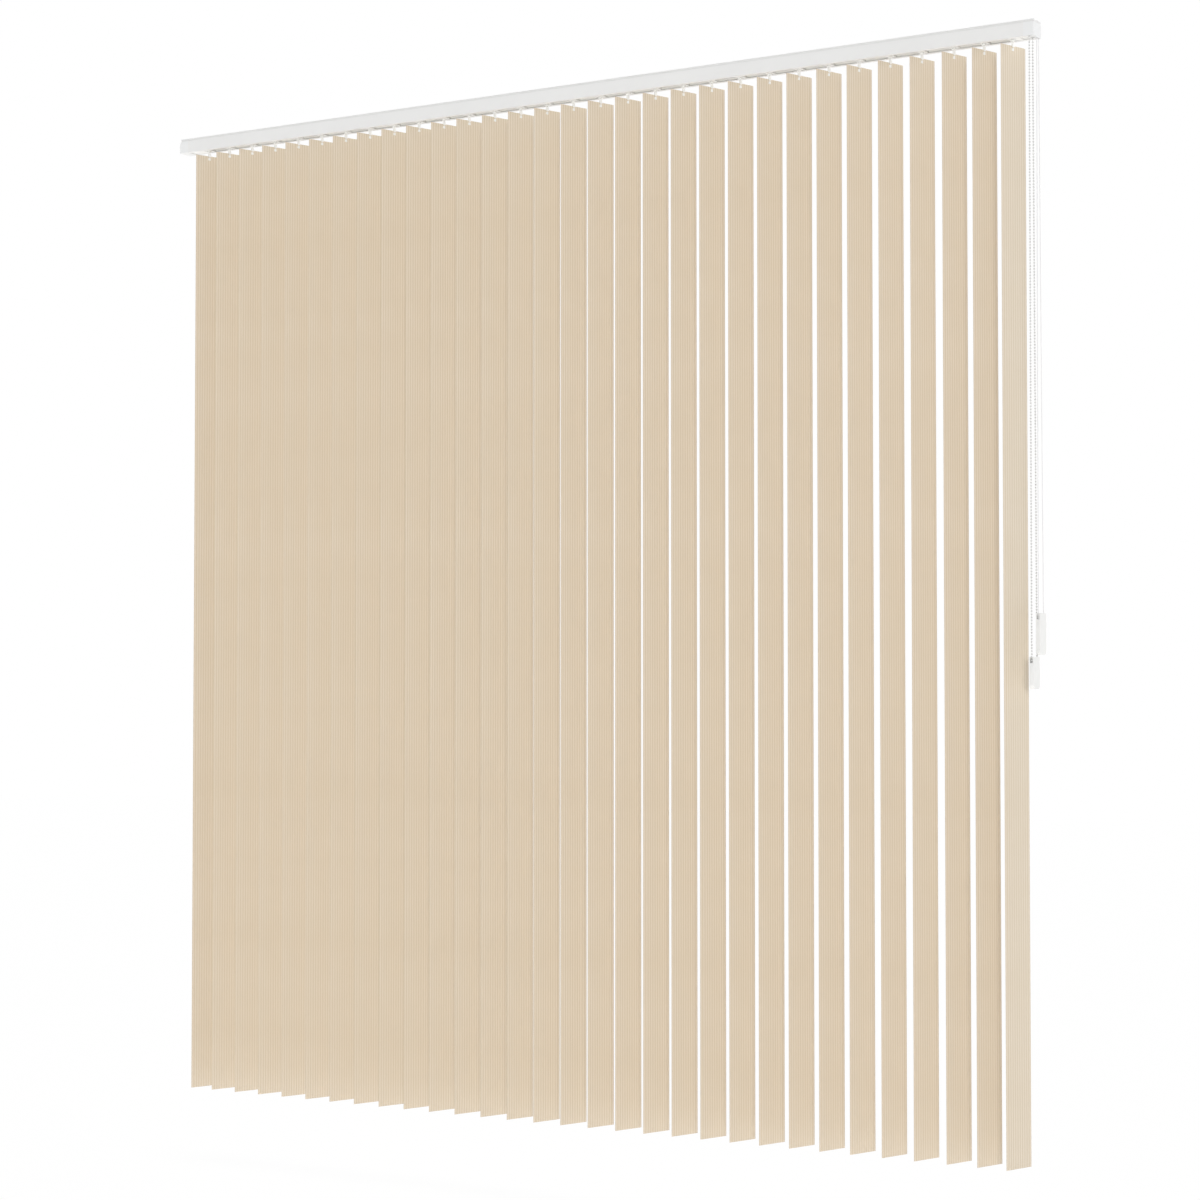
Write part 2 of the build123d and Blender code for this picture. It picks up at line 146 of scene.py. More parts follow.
@dataclass(frozen=True)
class Finish:
    """What every finish shares: its name, colours and gloss."""

    name: str
    colour: str
    shade: str
    roughness: float
    ior: float = 1.5
    metallic: float = 0.0
    mottle_mm: float = 60.0
    mottle_detail: float = 3.0
    mottle_from: float = 0.3
    mottle_to: float = 0.7
    # Real grit is finer than this and would not show, so every finish draws it coarser.
    grit_mm: float = 1.5
    grit_depth_mm: float = 0.02
    grit_detail: float = 4.0
    grit_strength: float = 0.6
    grain: Grain = Grain.EVEN

    def start(
        self,
    ) -> tuple[bpy.types.Material, bpy.types.NodeTree, bpy.types.Node, bpy.types.Node]:
        """Begin the material.

        Returns:
            The material, its node tree, its shader and its coordinates.
        """
        material = bpy.data.materials.new(self.name)
        material.use_nodes = True
        tree = material.node_tree
        shader = tree.nodes["Principled BSDF"]
        shader.inputs["Roughness"].default_value = self.roughness
        shader.inputs["Metallic"].default_value = self.metallic
        if not self.metallic:
            shader.inputs["IOR"].default_value = self.ior
        coords = add_node(tree, "ShaderNodeTexCoord")
        return material, tree, shader, coords

    def mottled(self, tree: bpy.types.NodeTree, place: bpy.types.NodeSocket) -> bpy.types.NodeSocket:
        """Mix the two colours in soft patches, as uneven pigment and handling leave them.

        Args:
            tree: The material's node tree.
            place: The coordinates that the patches lie in.

        Returns:
            The mixed colour.
        """
        noise = add_node(
            tree, "ShaderNodeTexNoise",
            {"Scale": per_metre(self.mottle_mm), "Detail": self.mottle_detail}, {"Vector": place},
        )
        ramp = add_node(tree, "ShaderNodeValToRGB", links={"Fac": noise.outputs["Fac"]})
        ramp.color_ramp.elements[0].position = self.mottle_from
        ramp.color_ramp.elements[0].color = linear(self.shade)
        ramp.color_ramp.elements[1].position = self.mottle_to
        ramp.color_ramp.elements[1].color = linear(self.colour)
        return ramp.outputs["Color"]

    def gritted(self, tree: bpy.types.NodeTree, place: bpy.types.NodeSocket) -> bpy.types.NodeSocket:
        """Raise the surface's fine grit as a bump.

        Args:
            tree: The material's node tree.
            place: The coordinates that the grit lies in.

        Returns:
            The bumped normal.
        """
        noise = add_node(
            tree, "ShaderNodeTexNoise",
            {"Scale": per_metre(self.grit_mm), "Detail": self.grit_detail}, {"Vector": place},
        )
        bump = add_node(
            tree, "ShaderNodeBump",
            {"Strength": self.grit_strength, "Distance": self.grit_depth_mm * MM},
            {"Height": noise.outputs["Fac"]},
        )
        return bump.outputs["Normal"]

    def make(self) -> bpy.types.Material:
        """Make the material: mottled colour and fine grit.

        Returns:
            The finished material.
        """
        material, tree, shader, coords = self.start()
        stretch = add_node(
            tree, "ShaderNodeMapping", {"Scale": self.grain.value}, {"Vector": coords.outputs["Object"]},
        )
        place = stretch.outputs["Vector"]
        tree.links.new(self.mottled(tree, place), shader.inputs["Base Color"])
        tree.links.new(self.gritted(tree, place), shader.inputs["Normal"])
        return material


@dataclass(frozen=True)
class RibbedPvc(Finish):
    """Embossed PVC strip: ribs and a fine linen grain are rolled into the warm sheet, so it is matt."""

    # Painted shade: the colour between the ribs, darker where the ribs' hollows lie in shade.
    valley_painted_shade: str = "#D6C7AF"
    rib_mm: float = SLAT_WIDTH_MM / SLAT_RIBS
    rib_waver: float = 0.8
    rib_detail: float = 3.0
    # The real grain of about 0.8 mm is too fine to show, so it is drawn three times as coarse.
    linen_mm: float = 2.4
    linen_depth_mm: float = 0.05
    linen_waver: float = 3.0
    linen_detail: float = 2.0
    linen_strength: float = 0.5
    waver_scale: float = 2.0

    def make(self) -> bpy.types.Material:
        """Make the strip's material: painted shade that darkens the colour between the ribs, and a
        rolled-in linen grain.

        Returns:
            The finished material.
        """
        material, tree, shader, coords = self.start()
        place = coords.outputs["Object"]
        # Painted shade: a wave across the strip marks the ribs' hollows, where the colour is darkened.
        between = add_node(
            tree, "ShaderNodeTexWave",
            {
                "Scale": wave_scale(self.rib_mm), "Distortion": self.rib_waver,
                "Detail": self.rib_detail, "Detail Scale": self.waver_scale,
            },
            {"Vector": place}, bands_direction="X",
        )
        rib_shaded_colour = add_node(
            tree, "ShaderNodeMixRGB", {"Color2": linear(self.valley_painted_shade)},
            {"Fac": between.outputs["Fac"], "Color1": self.mottled(tree, place)},
        )
        tree.links.new(rib_shaded_colour.outputs["Color"], shader.inputs["Base Color"])
        waves = [
            add_node(
                tree, "ShaderNodeTexWave",
                {
                    "Scale": wave_scale(self.linen_mm), "Distortion": self.linen_waver,
                    "Detail": self.linen_detail, "Detail Scale": self.waver_scale,
                },
                {"Vector": place}, bands_direction=direction,
            )
            for direction in ("X", "Z")
        ]
        weave = add_node(
            tree, "ShaderNodeMath", links={i: w.outputs["Fac"] for i, w in enumerate(waves)},
            operation="ADD",
        )
        bump = add_node(
            tree, "ShaderNodeBump",
            {"Strength": self.linen_strength, "Distance": self.linen_depth_mm * MM},
            {"Height": weave.outputs["Value"]},
        )
        tree.links.new(bump.outputs["Normal"], shader.inputs["Normal"])
        return material


@dataclass(frozen=True)
class PaintedGrooveShade(Finish):
    """A finish of the rail's section: painted shade in the groove below the top edge draws a grey line
    there.
    """

    # The groove's grey is painted shade, which stands for the groove's shadow.
    groove_painted_shade: str = "#E7E7E6"
    groove_level_mm: float = -4.3
    groove_height_mm: float = 5.0

    def mottled(self, tree: bpy.types.NodeTree, place: bpy.types.NodeSocket) -> bpy.types.NodeSocket:
        """Mix the two colours in soft patches, and lay painted shade over them in the groove.

        Args:
            tree: The material's node tree.
            place: The coordinates that the patches and the groove lie in.

        Returns:
            The mixed colour.
        """
        axes = add_node(tree, "ShaderNodeSeparateXYZ", links={"Vector": place})
        groove_shade_mask = add_node(
            tree, "ShaderNodeMath",
            {1: self.groove_level_mm * MM, 2: self.groove_height_mm / 2 * MM},
            {0: axes.outputs["Z"]}, operation="COMPARE",
        )
        # Painted shade: the groove's band of height is greyed where the groove's shadow falls.
        mix = add_node(
            tree, "ShaderNodeMixRGB", {"Color2": linear(self.groove_painted_shade)},
            {"Fac": groove_shade_mask.outputs["Value"], "Color1": super().mottled(tree, place)},
        )
        return mix.outputs["Color"]


@dataclass(frozen=True)
class PolyesterBraid(Finish):
    """Braided polyester cord: slanting yarns cross each other, which gives a soft spotted sheen."""

    # Real yarns of about half a millimetre are too fine to show, so they are drawn coarser.
    yarn_mm: float = 1.6
    yarn_depth_mm: float = 0.12
    yarn_slant: float = 35.0
    yarn_strength: float = 0.7
    sheen: float = 0.3

    def make(self) -> bpy.types.Material:
        """Make the cord's material: two sets of slanting yarns.

        Returns:
            The finished material.
        """
        material, tree, shader, coords = self.start()
        shader.inputs["Sheen Weight"].default_value = self.sheen
        yarns = []
        for slant in (-1, 1):
            turn = add_node(
                tree, "ShaderNodeMapping", {"Rotation": (slant * math.radians(self.yarn_slant), 0, 0)},
                {"Vector": coords.outputs["Object"]},
            )
            yarns.append(add_node(
                tree, "ShaderNodeTexWave", {"Scale": wave_scale(self.yarn_mm)},
                {"Vector": turn.outputs["Vector"]}, bands_direction="Z",
            ))
        over = add_node(
            tree, "ShaderNodeMath", links={i: y.outputs["Fac"] for i, y in enumerate(yarns)},
            operation="MAXIMUM",
        )
        ramp = add_node(tree, "ShaderNodeValToRGB", links={"Fac": over.outputs["Value"]})
        ramp.color_ramp.elements[0].color = linear(self.shade)
        ramp.color_ramp.elements[1].color = linear(self.colour)
        bump = add_node(
            tree, "ShaderNodeBump",
            {"Strength": self.yarn_strength, "Distance": self.yarn_depth_mm * MM},
            {"Height": over.outputs["Value"]},
        )
        tree.links.new(ramp.outputs["Color"], shader.inputs["Base Color"])
        tree.links.new(bump.outputs["Normal"], shader.inputs["Normal"])
        return material


# Extruded and embossed PVC, beige right through: matt, with a faint drift of colour.
# Its colour is darkened between the ribs with painted shade.
SLAT_PVC = RibbedPvc("embossed_pvc", "#E4D8C7", "#E0D3C0", 0.55, ior=1.53, mottle_mm=140.0)
# Powder-coated aluminium: the melted powder flows into a faint orange peel under a satin gloss.
# Its groove below the top edge is greyed with painted shade.
RAIL_PAINT = PaintedGrooveShade(
    "powder_coated_aluminium", "#EDEDEC", "#EAEAE9", 0.38,
    mottle_mm=220.0, grit_mm=2.5, grit_depth_mm=0.03,
)
# Moulded ABS from a spark-eroded mould: an even fine grit that scatters the gloss.
# Its groove below the top edge is greyed with painted shade too.
CAP_ABS = PaintedGrooveShade(
    "moulded_abs", "#EEEFEF", "#EBECEC", 0.68, ior=1.54,
    mottle_mm=40.0, grit_mm=0.9, grit_depth_mm=0.03,
)
# The weights' ABS has the same kind of grit, and is a little lighter and warmer.
WEIGHT_ABS = Finish(
    "moulded_weight_abs", "#F1F1EF", "#ECECEA", 0.68, ior=1.54,
    mottle_mm=45.0, grit_mm=0.8, grit_depth_mm=0.02,
)
# Moulded acetal: dense, waxy and smooth, with a soft highlight.
ACETAL = Finish(
    "moulded_acetal", "#F7F7F5", "#F1F1EE", 0.32, ior=1.48,
    mottle_mm=15.0, grit_mm=1.2, grit_depth_mm=0.01,
)
# Acetal beads moulded on a thread: glossy, with flow marks near the gates.
CHAIN_ACETAL = Finish(
    "bead_acetal", "#DEDEDD", "#D0D0CF", 0.25, ior=1.48,
    mottle_mm=3.0, grit_mm=1.5, grit_depth_mm=0.01,
)
# Braided polyester: white yarn that greys with handling.
CORD_POLYESTER = PolyesterBraid("braided_polyester", "#F0F0F1", "#DBDBDE", 0.7)
# Extruded aluminium left bare: fine lines along its length.
ROD_ALUMINIUM = Finish(
    "mill_aluminium", "#C9CACB", "#B7B8BA", 0.4, metallic=1.0,
    mottle_mm=8.0, grit_mm=0.6, grit_depth_mm=0.02, grain=Grain.ALONG_RAIL,
)
# Extruded polypropylene strip: soft white, with draw lines along it.
LINK_PP = Finish(
    "extruded_polypropylene", "#FAFAF8", "#F4F4F1", 0.42, ior=1.49,
    mottle_mm=5.0, grit_mm=0.5, grit_depth_mm=0.01, grain=Grain.ALONG_RAIL,
)
# Drawn steel pins: bright, with a fine uneven polish.
PIN_STEEL = Finish(
    "drawn_steel", "#C4C4C6", "#ADAEB0", 0.28, metallic=1.0,
    mottle_mm=4.0, grit_mm=0.4, grit_depth_mm=0.005,
)


def link_object(name: str, data: Any, material: bpy.types.Material) -> bpy.types.Object:
    """Put new data in the scene as a piece with its finish.

    Args:
        name: The piece's name.
        data: Its mesh or curve.
        material: Its finish.

    Returns:
        The new object.
    """
    piece = bpy.data.objects.new(name, data)
    bpy.context.scene.collection.objects.link(piece)
    if not data.materials:
        data.materials.append(material)
    return piece


def smooth(mesh: bpy.types.Mesh, sharp_over: float) -> None:
    """Shade a mesh smooth, but for edges that turn more than some degrees.

    Args:
        mesh: The mesh to shade.
        sharp_over: The turn in degrees above which an edge stays sharp.
    """
    mesh.polygons.foreach_set("use_smooth", [True] * len(mesh.polygons))
    mesh.set_sharp_from_angle(angle=math.radians(sharp_over))


def dress(node: str, material: bpy.types.Material, edge_mm: float = 0.0) -> None:
    """Give a CAD node its finish, and soften its edges.

    Args:
        node: The CAD node's name.
        material: Its finish.
        edge_mm: How far its edges are eased, or zero to leave them.
    """
    piece = frame["nodes"][node]
    piece.data.materials.clear()
    piece.data.materials.append(material)
    if edge_mm:
        weld = piece.modifiers.new("join_corners", "WELD")
        weld.merge_threshold = JOIN_MM * MM
        bevel = piece.modifiers.new("eased_edges", "BEVEL")
        bevel.width = edge_mm * MM
        bevel.segments = EASE_SEGMENTS
        bevel.limit_method = "ANGLE"
        bevel.angle_limit = math.radians(EASE_OVER)
        bevel.use_clamp_overlap = True
    log.info("dressed %s", node)


def extruded(mesh: bmesh.types.BMesh, outline: Outline, x_from: float, x_to: float) -> None:
    """Draw a closed outline of (y, z) points out along X.

    Args:
        mesh: The mesh that takes the block.
        outline: The outline's points, in millimetres.
        x_from: Where the block starts.
        x_to: Where it ends.
    """
    rings = [[mesh.verts.new((x, y, z)) for y, z in outline] for x in (x_from, x_to)]
    count = len(outline)
    for i in range(count):
        j = (i + 1) % count
        mesh.faces.new((rings[0][i], rings[0][j], rings[1][j], rings[1][i]))
    mesh.faces.new(rings[0][::-1])
    mesh.faces.new(rings[1])


def stacked(mesh: bmesh.types.BMesh, rings: Sequence[Sequence[Point]]) -> None:
    """Skin a stack of closed rings and cap both ends.

    Args:
        mesh: The mesh that takes the form.
        rings: The rings from bottom to top, with as many points each.
    """
    made = [[mesh.verts.new(point) for point in ring] for ring in rings]
    count = len(made[0])
    for low, high in zip(made, made[1:]):
        for i in range(count):
            j = (i + 1) % count
            mesh.faces.new((low[i], low[j], high[j], high[i]))
    mesh.faces.new(made[0][::-1])
    mesh.faces.new(made[-1])


def ring_z(radius: float, z: float, sides: int) -> list[Point]:
    """A level ring of points round the Z axis."""
    turns = [2 * math.pi * i / sides for i in range(sides)]
    return [(radius * math.cos(turn), radius * math.sin(turn), z) for turn in turns]


def finished_mesh(
    name: str, made: bmesh.types.BMesh, sharp_over: float, scale: float = MM,
) -> bpy.types.Mesh:
    """Turn a bmesh in millimetres into a shaded mesh in metres.

    Args:
        name: The mesh's name.
        made: The bmesh, which is freed.
        sharp_over: The turn in degrees above which an edge stays sharp.
        scale: Metres to each unit of the bmesh.

    Returns:
        The mesh.
    """
    bmesh.ops.recalc_face_normals(made, faces=made.faces)
    bmesh.ops.scale(made, vec=(scale, scale, scale), verts=made.verts)
    mesh = bpy.data.meshes.new(name)
    made.to_mesh(mesh)
    made.free()
    smooth(mesh, sharp_over)
    return mesh


def route_curve(name: str, points: Sequence[Point]) -> bpy.types.Curve:
    """A cord's smooth line through its route.

    Args:
        name: The curve's name.
        points: The route's points in millimetres, which are the spline's control points.

    Returns:
        A curve of one open spline with no thickness.
    """
    curve = bpy.data.curves.new(name, "CURVE")
    curve.dimensions = "3D"
    curve.resolution_u = CORD_STEPS
    spline = curve.splines.new("NURBS")
    spline.points.add(len(points) - 1)
    for point, (x, y, z) in zip(spline.points, points):
        point.co = (x * MM, y * MM, z * MM, 1.0)
    spline.order_u = CORD_ORDER
    spline.use_endpoint_u = True
    return curve


def line_of(curve: bpy.types.Curve) -> list[Vector]:
    """Read the points of a curve's own line.

    Args:
        curve: A curve with no thickness.

    Returns:
        The line's points in metres, in order.
    """
    holder = bpy.data.objects.new("route", curve)
    mesh = bpy.data.meshes.new_from_object(holder)
    points = [vertex.co.copy() for vertex in mesh.vertices]
    bpy.data.objects.remove(holder)
    bpy.data.meshes.remove(mesh)
    return points


def along(points: Sequence[Vector], step: float) -> list[tuple[Vector, Vector]]:
    """Even stations along a line.

    Args:
        points: The line's points.
        step: The distance between stations.

    Returns:
        Each station's place and the line's direction there.
    """
    stations = []
    wait = step / 2
    for start, stop in zip(points, points[1:]):
        run = stop - start
        while wait <= run.length:
            stations.append((start + run.normalized() * wait, run.normalized()))
            wait += step
        wait -= run.length
    return stations


@dataclass
class Studio:
    """The camera at the photograph's place, the light and the white floor."""

    lens_mm: float = 79.5
    sensor_mm: float = 36.0
    far_clip: float = 200.0
    eye: Point = (3.7617, -5.9202, -1.6106)
    pitch: float = 1.974
    yaw: float = 31.758
    floor_level: float = -2.95
    floor_size: float = 40.0
    floor_colour: str = "#FAFAFA"
    floor_white: float = 0.95
    room_strength: float = 0.42
    # Each lamp's name, the way to it from the blind, its strength and its spread in degrees. The
    # right and left lamps hang behind. The floor lamp stands for the light that a white floor
    # throws up, and is narrow so that it reaches the rail between the slats.
    lamps: tuple[tuple[str, Point, float, float], ...] = (
        ("top_lamp", (0.0, 0.0, 1.0), 1.2, 4.0),
        ("front_lamp", (0.54, -0.84, 0.1), 1.15, 18.0),
        ("right_lamp", (0.45, 0.82, 0.35), 0.88, 30.0),
        ("left_lamp", (-0.8, 0.45, 0.2), 1.05, 30.0),
        ("floor_lamp", (0.0, 0.0, -1.0), 0.5, 1.0),
    )

    def build(self) -> None:
        """Set up the camera, the room, the lamps and the floor."""
        bpy.context.scene.view_settings.view_transform = "Standard"
        self.place_camera()
        self.light_room()
        self.hang_lamps()
        self.lay_floor()

    def place_camera(self) -> None:
        """Stand the camera where the slats' and the rail's edges in the photograph put it."""
        lens = bpy.data.cameras.new("camera")
        lens.lens = self.lens_mm
        lens.sensor_width = self.sensor_mm
        lens.clip_end = self.far_clip
        camera = bpy.data.objects.new("camera", lens)
        camera.location = self.eye
        camera.rotation_euler = (math.radians(90 + self.pitch), 0, math.radians(self.yaw))
        bpy.context.scene.collection.objects.link(camera)
        bpy.context.scene.camera = camera

    def backdrop_ray(self, tree: bpy.types.NodeTree) -> bpy.types.NodeSocket:
        """One for the rays that show the white backdrop, zero for those that carry light.

        Args:
            tree: The node tree that takes the nodes.

        Returns:
            The socket with that value.
        """
        path = add_node(tree, "ShaderNodeLightPath")
        shiny = add_node(
            tree, "ShaderNodeMath",
            links={0: path.outputs["Is Glossy Ray"], 1: path.outputs["Is Transmission Ray"]},
            operation="MAXIMUM",
        )
        seen = add_node(
            tree, "ShaderNodeMath",
            links={0: path.outputs["Is Camera Ray"], 1: shiny.outputs["Value"]},
            operation="MAXIMUM",
        )
        return seen.outputs["Value"]

    def light_room(self) -> None:
        """Surround the blind with even white light, and show it as white."""
        world = bpy.data.worlds.new("white_room")
        world.use_nodes = True
        bpy.context.scene.world = world
        tree = world.node_tree
        tree.nodes.clear()
        room = add_node(
            tree, "ShaderNodeBackground", {"Color": WHITE, "Strength": self.room_strength},
        )
        white = add_node(tree, "ShaderNodeBackground", {"Color": WHITE, "Strength": 1.0})
        mix = add_node(
            tree, "ShaderNodeMixShader",
            links={0: self.backdrop_ray(tree), 1: room.outputs[0], 2: white.outputs[0]},
        )
        add_node(tree, "ShaderNodeOutputWorld", links={"Surface": mix.outputs[0]})

    def hang_lamps(self) -> None:
        """Hang far lamps round the blind, which light the slats evenly across their width."""
        for name, towards, strength, spread in self.lamps:
            light = bpy.data.lights.new(name, "SUN")
            light.energy = strength
            light.angle = math.radians(spread)
            lamp = bpy.data.objects.new(name, light)
            lamp.rotation_euler = Vector(towards).to_track_quat("Z", "Y").to_euler()
            bpy.context.scene.collection.objects.link(lamp)

    def lay_floor(self) -> None:
        """Lay a plain white floor below the slats."""
        half = self.floor_size / 2
        mesh = bpy.data.meshes.new("floor")
        square = ((-half, -half), (half, -half), (half, half), (-half, half))
        mesh.from_pydata([(x, y, self.floor_level) for x, y in square], [], [(0, 1, 2, 3)])
        material = bpy.data.materials.new("white_floor_paint")
        material.use_nodes = True
        tree = material.node_tree
        tree.nodes.clear()
        paint = add_node(tree, "ShaderNodeBsdfDiffuse", {"Color": linear(self.floor_colour)})
        white = add_node(tree, "ShaderNodeEmission", {"Color": WHITE, "Strength": 1.0})
        share = add_node(
            tree, "ShaderNodeMath", {1: self.floor_white}, {0: self.backdrop_ray(tree)},
            operation="MULTIPLY",
        )
        mix = add_node(
            tree, "ShaderNodeMixShader",
            links={0: share.outputs["Value"], 1: paint.outputs[0], 2: white.outputs[0]},
        )
        add_node(tree, "ShaderNodeOutputMaterial", links={"Surface": mix.outputs[0]})
        mesh.materials.append(material)
        floor = bpy.data.objects.new("floor", mesh)
        bpy.context.scene.collection.objects.link(floor)
        # The floor still takes the blind's shadow, but it does not keep the floor lamp's light off.
        floor.visible_shadow = False


@dataclass
class HangingWeight:
    """A two-shell weight that rides in a hanging loop: only its finish is new."""

    name: str
    edge_mm: float = 0.7

    def nodes(self) -> list[str]:
        """The weight's CAD nodes."""
        return [f"{self.name}_{part}" for part in ("left_shell", "right_shell", "wheel", "pin")]

    def dress(
        self, shell: bpy.types.Material, wheel: bpy.types.Material, pin: bpy.types.Material,
    ) -> None:
        """Give the weight's pieces their finishes.

        Args:
            shell: The finish of both shells.
            wheel: The wheel's finish.
            pin: The pin's finish.
        """
        finishes = (shell, shell, wheel, pin)
        edges = (self.edge_mm, self.edge_mm, 0, 0)
        for node, material, edge in zip(self.nodes(), finishes, edges):
            dress(node, material, edge)

    def pieces(self) -> list[bpy.types.Object]:
        """The weight's CAD objects, as the pieces on its cord."""
        return [frame["nodes"][node] for node in self.nodes()]


@dataclass
class TiltChain:
    """The endless bead chain over the sprocket, with its weight."""

    place: float = 1319.17
    middle: float = -8.5
    sprocket_level: float = -22.0
    sprocket_radius: float = 10.456
    wheel_level: float = -1564.7
    wheel_radius: float = 16.0
    exit_level: float = -40.0
    straight: float = 27.0
    end_gap: float = 3.0
    length: float = 3168.6
    bead_radius: float = 2.25
    bead_pitch: float = 7.3
    bead_sides: int = 12
    bead_rings: int = 8
    bead_sharp_over: float = 50.0
    thread_radius: float = 0.6
    thread_sides: int = 6
    weight: HangingWeight = field(default_factory=lambda: HangingWeight("chain_weight"))

    def route(self) -> list[Point]:
        """The chain's control points, from the sprocket's top down one side and up the other.

        Returns:
            Points in millimetres.
        """
        top = self.sprocket_level + self.sprocket_radius
        low = self.wheel_level - self.wheel_radius
        side = [
            (self.end_gap, top),
            (self.sprocket_radius, top),
            (self.sprocket_radius, self.exit_level),
            (self.wheel_radius, self.wheel_level + self.straight),
            (self.wheel_radius, low),
        ]
        front = [(self.place, self.middle - reach, z) for reach, z in side]
        rear = [(self.place, self.middle + reach, z) for reach, z in reversed(side)]
        return front + rear

    def bead_rows(self, mesh: bmesh.types.BMesh, centre: Vector, ahead: Vector) -> None:
        """Add one bead: a ball, flat at both ends where the thread leaves it.

        Args:
            mesh: The mesh that takes the bead.
            centre: The bead's middle.
            ahead: The thread's direction there.
        """
        turn = Matrix.Translation(centre) @ ahead.to_track_quat("Z", "X").to_matrix().to_4x4()
        radius = self.bead_radius * MM
        rows = []
        for i in range(1, self.bead_rings):
            tilt = math.pi * i / self.bead_rings
            rows.append(ring_z(radius * math.sin(tilt), -radius * math.cos(tilt), self.bead_sides))
        stacked(mesh, [[turn @ Vector(point) for point in row] for row in rows])

    def thread_rows(self, mesh: bmesh.types.BMesh, points: Sequence[Vector]) -> None:
        """Add the thread that the beads are moulded on.

        Args:
            mesh: The mesh that takes the thread.
            points: The thread's line.
        """
        radius = self.thread_radius * MM
        across = Vector((1, 0, 0))
        turns = [2 * math.pi * k / self.thread_sides for k in range(self.thread_sides)]
        rows = []
        for i, point in enumerate(points):
            ahead = (points[min(i + 1, len(points) - 1)] - points[max(i - 1, 0)]).normalized()
            beside = ahead.cross(across).normalized()
            rows.append([
                point + radius * (across * math.cos(turn) + beside * math.sin(turn)) for turn in turns
            ])
        stacked(mesh, rows)

    def build(self, material: bpy.types.Material) -> None:
        """Make the thread and its beads as one piece that stands for the CAD tube.

        Args:
            material: The beads' finish.
        """
        points = line_of(route_curve("tilt_chain_route", self.route()))
        made = bmesh.new()
        self.thread_rows(made, points)
        stations = along(points, self.bead_pitch * MM)
        for centre, ahead in stations:
            self.bead_rows(made, centre, ahead)
        mesh = finished_mesh("bead_chain", made, self.bead_sharp_over, scale=1.0)
        chain = link_object("bead_chain", mesh, material)
        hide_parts("tilt_chain")
        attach(chain, RAIL_BODY)
        self.weight.pieces()
        log.info("bead chain with %d beads", len(stations))


@dataclass
class TraverseCord:
    """The cord loop that draws the carriers: its hanging part, with its weight."""

    place: float = 1327.27
    lead_place: float = 1318.77
    middle: float = 13.403
    half_spread: float = 5.597
    level: float = -11.0
    pulley_radius: float = 5.5
    wheel_level: float = -1459.9
    wheel_radius: float = 16.0
    radius: float = 0.9
    round_steps: int = 3
    straight: float = 10.8
    length: float = 2960.4
    weight: HangingWeight = field(default_factory=lambda: HangingWeight("cord_weight"))

    def route(self) -> list[Point]:
        """The cord's control points, from the front pulley round the weight's wheel to the rear one.

        Returns:
            Points in millimetres.
        """
        low = self.wheel_level - self.wheel_radius
        above = self.wheel_level + self.wheel_radius + self.straight
        side = [
            (self.lead_place, self.half_spread, self.level),
            (self.place, self.half_spread, self.level),
            (self.place, self.half_spread, self.level - 2 * self.pulley_radius),
            (self.place, self.wheel_radius, above),
            (self.place, self.wheel_radius, low),
        ]
        front = [(x, self.middle - reach, z) for x, reach, z in side]
        rear = [(x, self.middle + reach, z) for x, reach, z in reversed(side)]
        return front + rear

    def build(self, material: bpy.types.Material) -> None:
        """Make the hanging cord, which stands for the CAD tube.

        Args:
            material: The braid's finish.
        """
        route = self.route()
        curve = route_curve("hanging_cord", route)
        curve.bevel_depth = self.radius * MM
        curve.bevel_resolution = self.round_steps
        curve.use_fill_caps = True
        cord = link_object("hanging_cord", curve, material)
        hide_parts("traverse_cord")
        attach(cord, RAIL_BODY)
        self.weight.pieces()
        log.info("hanging cord of %.1f mm", self.length)


